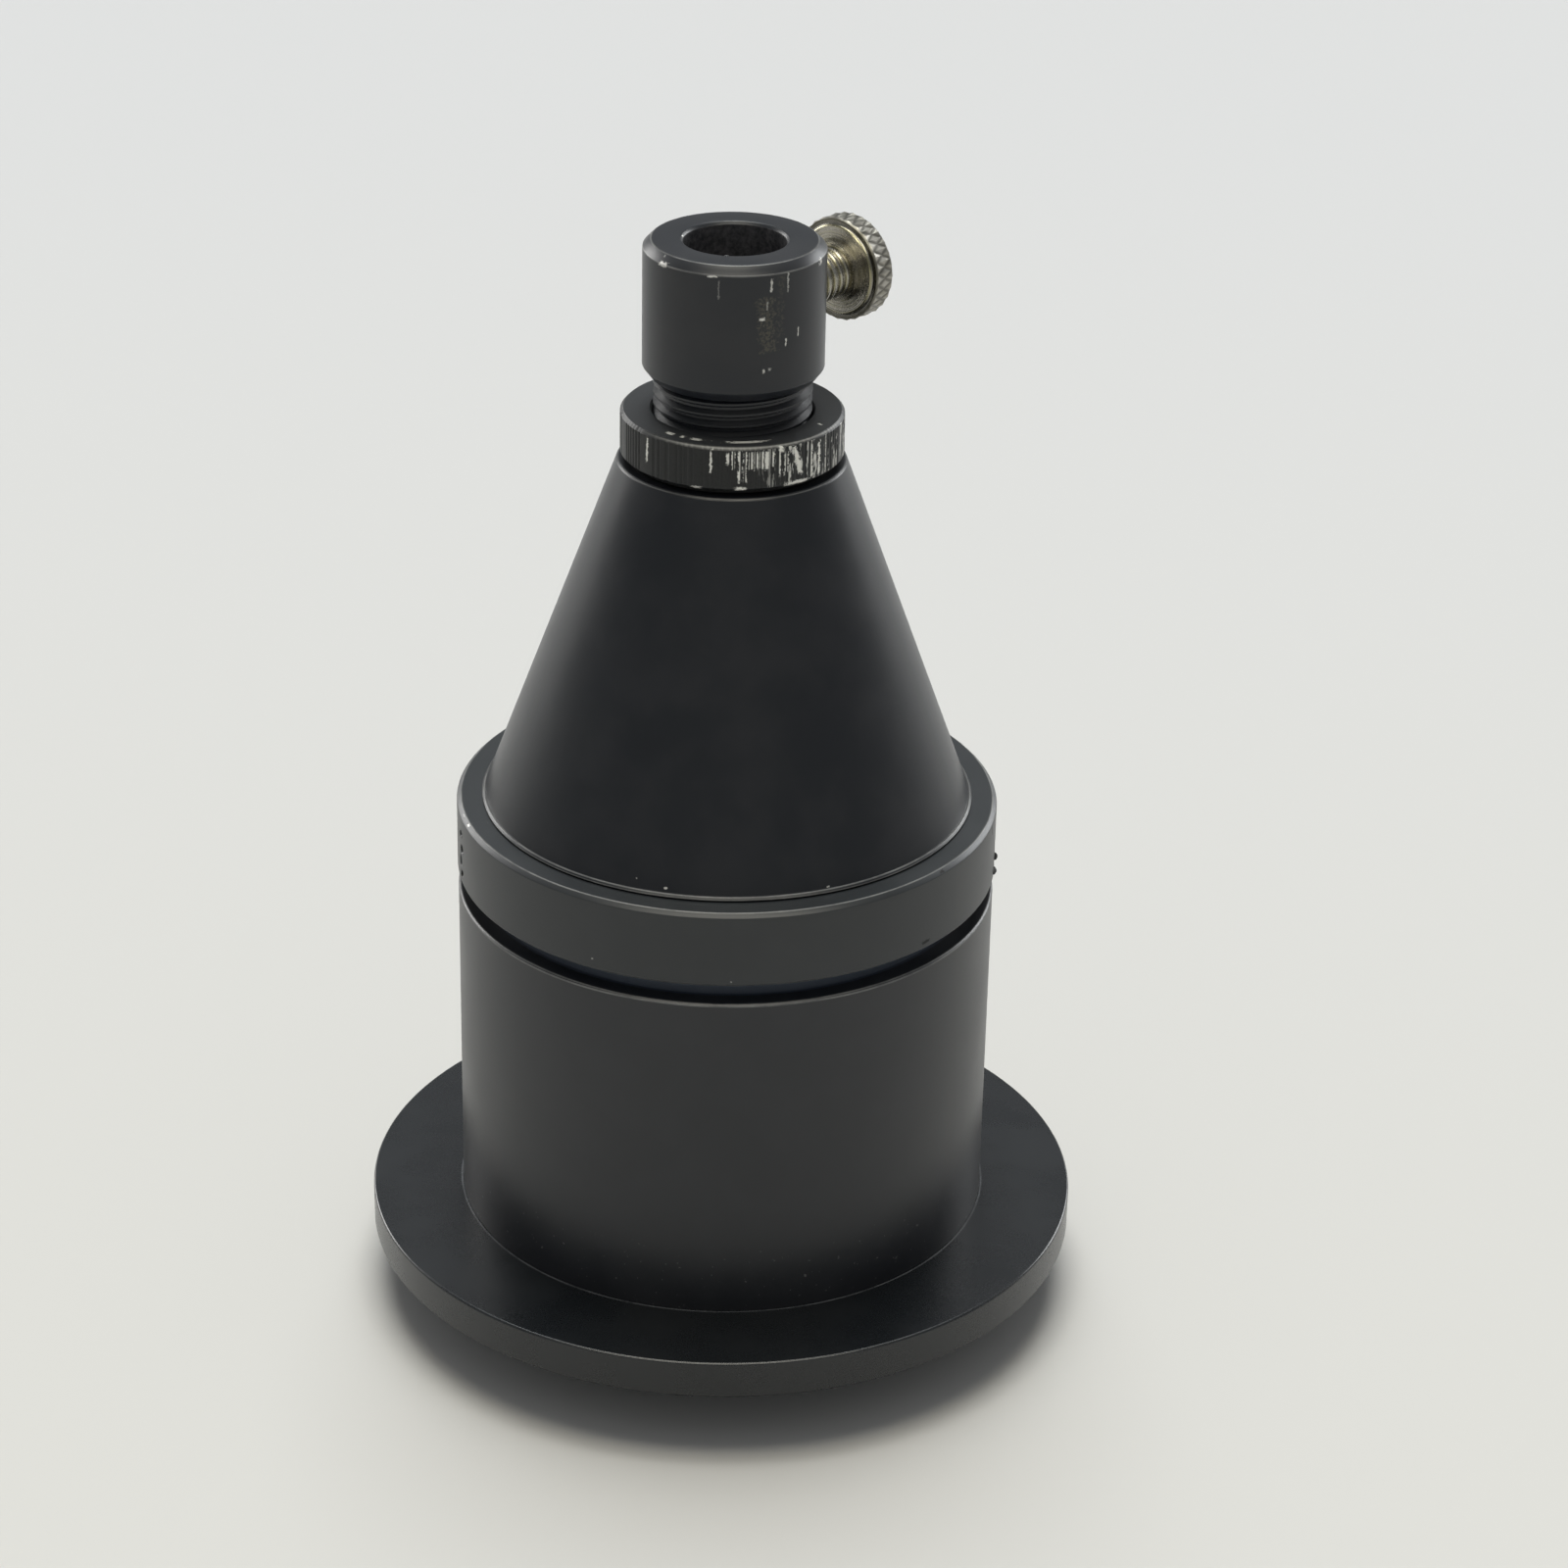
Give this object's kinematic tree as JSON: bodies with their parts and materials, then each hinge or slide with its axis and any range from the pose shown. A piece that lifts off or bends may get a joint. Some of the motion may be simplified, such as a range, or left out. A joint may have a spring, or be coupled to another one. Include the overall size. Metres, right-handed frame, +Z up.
{
  "type": "laser collimator",
  "caption": "Black anodised collimator: flanged lens barrel with focusing collar, cone, knurled lock ring and a threaded ferrule holder clamped by a side thumbscrew.",
  "frame": {"origin": "centre of the lower end of the mounting spigot", "axes": "+Z up along the optical axis towards the ferrule holder; the thumbscrew points 48 degrees from +X towards +Y"},
  "size_m": [0.0666, 0.0666, 0.1032],
  "materials": {
    "anodised_body": "satin black anodised, turned",
    "anodised_collar": "satin black anodised, scuffed by grips",
    "anodised_knurled": "black anodised straight knurl, worn to bare metal on one side",
    "matte_black": "matte black anodised inner part",
    "nickel": "nickel-plated brass, turned and knurled",
    "screw_steel": "black oxide steel",
    "spring_steel": "oiled spring steel",
    "seal_rubber": "matte",
    "tip_nylon": "natural nylon",
    "lens_glass": "polished, coated"
  },
  "bodies": {
    "base": {"mount_flange": "anodised_body", "flange_screw_1": "screw_steel", "flange_screw_2": "screw_steel", "flange_screw_3": "screw_steel", "flange_screw_4": "screw_steel", "lens_barrel": "anodised_body", "guide_screw": "screw_steel", "lens_seat_ring": "seal_rubber", "doublet_crown": "lens_glass", "doublet_flint": "lens_glass", "lens_spacer": "matte_black", "entry_lens": "lens_glass", "lens_retaining_ring": "matte_black"},
    "cone": {"cone_housing": "anodised_body", "cone_baffle": "matte_black", "collar_snap_ring": "spring_steel"},
    "collar": {"focusing_collar": "anodised_collar"},
    "washer": {"lock_washer": "seal_rubber"},
    "lock_ring": {"lock_ring": "anodised_knurled"},
    "stem_seal": {"stem_o_ring": "seal_rubber"},
    "holder": {"ferrule_holder": "anodised_body"},
    "clamp_tip": {"thumbscrew_tip": "tip_nylon"},
    "clamp_screw": {"thumbscrew": "nickel"}
  },
  "joints": [
    {"name": "cone_travel", "type": "slide", "parent": "base", "child": "cone", "axis": [0, 0, 1], "range_m": [-0.0015, 0.001]},
    {"name": "collar_turn", "type": "hinge", "parent": "cone", "child": "collar", "pos_m": [0, 0, 0.046], "axis": [0, 0, 1], "range_deg": [-720, 480]},
    {"name": "ring_travel", "type": "slide", "parent": "cone", "child": "washer", "axis": [0, 0, 1], "range_m": [0, 0.0015]},
    {"name": "ring_turn", "type": "hinge", "parent": "washer", "child": "lock_ring", "pos_m": [0, 0, 0.0855], "axis": [0, 0, 1], "range_deg": [0, 540]},
    {"name": "holder_travel", "type": "slide", "parent": "cone", "child": "stem_seal", "axis": [0, 0, 1], "range_m": [-0.0015, 0.0025]},
    {"name": "holder_turn", "type": "hinge", "parent": "stem_seal", "child": "holder", "pos_m": [0, 0, 0.097], "axis": [0, 0, 1], "range_deg": [-540, 900]},
    {"name": "clamp_travel", "type": "slide", "parent": "holder", "child": "clamp_tip", "axis": [-0.6691, -0.7431, 0], "range_m": [-0.0015, 0.004]},
    {"name": "clamp_turn", "type": "hinge", "parent": "clamp_tip", "child": "clamp_screw", "pos_m": [0, 0, 0.09707], "axis": [-0.6691, -0.7431, 0], "range_deg": [-675, 1800]}
  ],
  "couplings": [
    {"joint": "collar_turn", "follows": "cone_travel", "rad_per_m": 8377.6},
    {"joint": "ring_turn", "follows": "ring_travel", "rad_per_m": 6283.2},
    {"joint": "holder_turn", "follows": "holder_travel", "rad_per_m": 6283.2},
    {"joint": "clamp_turn", "follows": "clamp_travel", "rad_per_m": 7854}
  ]
}
